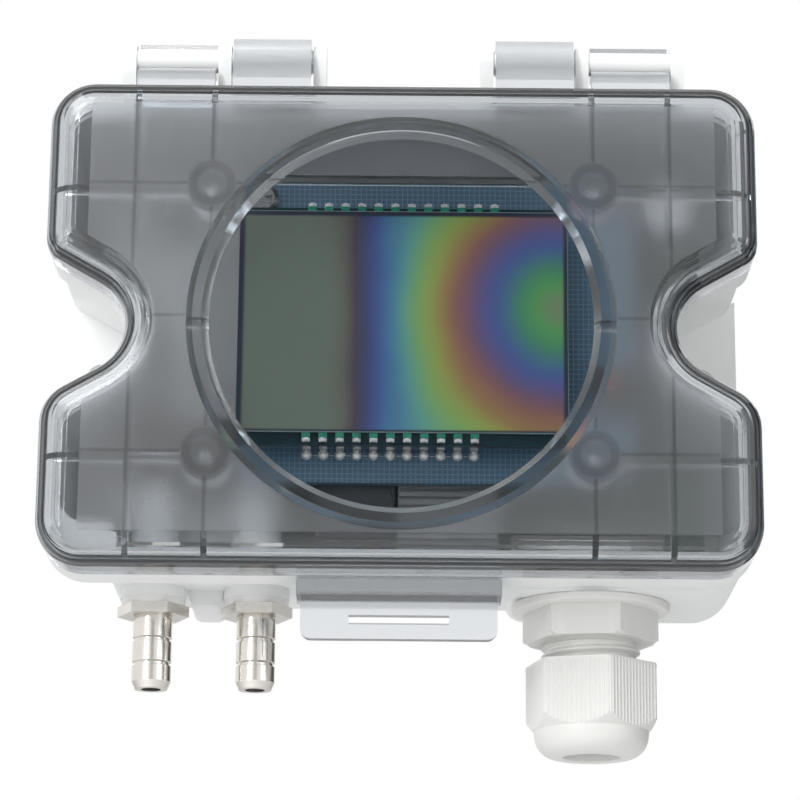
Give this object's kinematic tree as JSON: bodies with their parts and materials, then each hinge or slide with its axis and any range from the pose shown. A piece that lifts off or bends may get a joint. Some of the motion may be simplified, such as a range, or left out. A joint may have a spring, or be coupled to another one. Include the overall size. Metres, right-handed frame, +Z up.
{
  "type": "differential pressure transmitter",
  "caption": "Wall-mount differential pressure transmitter: white case, hinged smoky cover with round display window, barbed hose nozzles and a cable gland.",
  "frame": {"origin": "midway between the two wall screws, on the wall plane", "axes": "+X to the right seen from the front, +Y back into the wall (the front faces -Y), +Z up"},
  "size_m": [0.1068, 0.0406, 0.1092],
  "materials": {
    "housing_white": "satin",
    "cover_smoky": "frosted",
    "mask_grey": "matte",
    "gasket_black": "matte",
    "board_blue": "satin",
    "board_green": "satin",
    "display_grey": "polished",
    "backlight_white": "satin",
    "pin_steel": "satin",
    "standoff_brass": "satin",
    "screw_steel": "satin",
    "terminal_grey": "satin",
    "black_plastic": "satin",
    "capacitor_aluminium": "satin",
    "sensor_black": "satin",
    "nozzle_nickel": "satin",
    "washer_white": "matte",
    "hose_silicone": "matte",
    "gland_grey": "satin",
    "seal_black": "matte",
    "button_red": "satin"
  },
  "bodies": {
    "housing": {"base_housing": "housing_white", "cover_gasket": "gasket_black", "main_board": "board_green", "display_board": "board_blue", "board_standoffs": "standoff_brass", "display_screws": "screw_steel", "main_board_screws": "screw_steel", "display_backlight": "backlight_white", "display_glass": "display_grey", "display_pins_upper": "pin_steel", "display_pins_lower": "pin_steel", "terminal_block": "terminal_grey", "terminal_screws": "screw_steel", "power_converter": "black_plastic", "controller_chip": "black_plastic", "capacitor": "capacitor_aluminium", "board_header": "black_plastic", "board_socket": "black_plastic", "range_header": "black_plastic", "range_jumper": "terminal_grey", "zero_switch": "black_plastic", "nozzle_high": "nozzle_nickel", "nozzle_washer_high": "washer_white", "nozzle_nut_high": "nozzle_nickel", "sensor_hose_high": "hose_silicone", "nozzle_low": "nozzle_nickel", "nozzle_washer_low": "washer_white", "nozzle_nut_low": "nozzle_nickel", "sensor_hose_low": "hose_silicone", "pressure_sensor": "sensor_black", "gland_body": "gland_grey", "gland_lock_nut": "gland_grey", "gland_seal": "seal_black"},
    "cover": {"cover": "cover_smoky", "window_mask": "mask_grey"},
    "gland_nut": {"gland_dome_nut": "gland_grey"},
    "button": {"zero_button": "button_red"}
  },
  "joints": [
    {"name": "cover_hinge", "type": "hinge", "parent": "housing", "child": "cover", "pos_m": [0, -0.029, 0.045], "axis": [-1, 0, 0], "range_deg": [0, 170]},
    {"name": "gland_nut_turn", "type": "hinge", "parent": "housing", "child": "gland_nut", "pos_m": [0.0293, -0.0125, -0.05], "axis": [0, 0, 1], "continuous": true},
    {"name": "zero_button_press", "type": "slide", "parent": "housing", "child": "button", "axis": [0, 1, 0], "range_m": [0, 0.0003], "stiffness_N_per_m": 500}
  ]
}
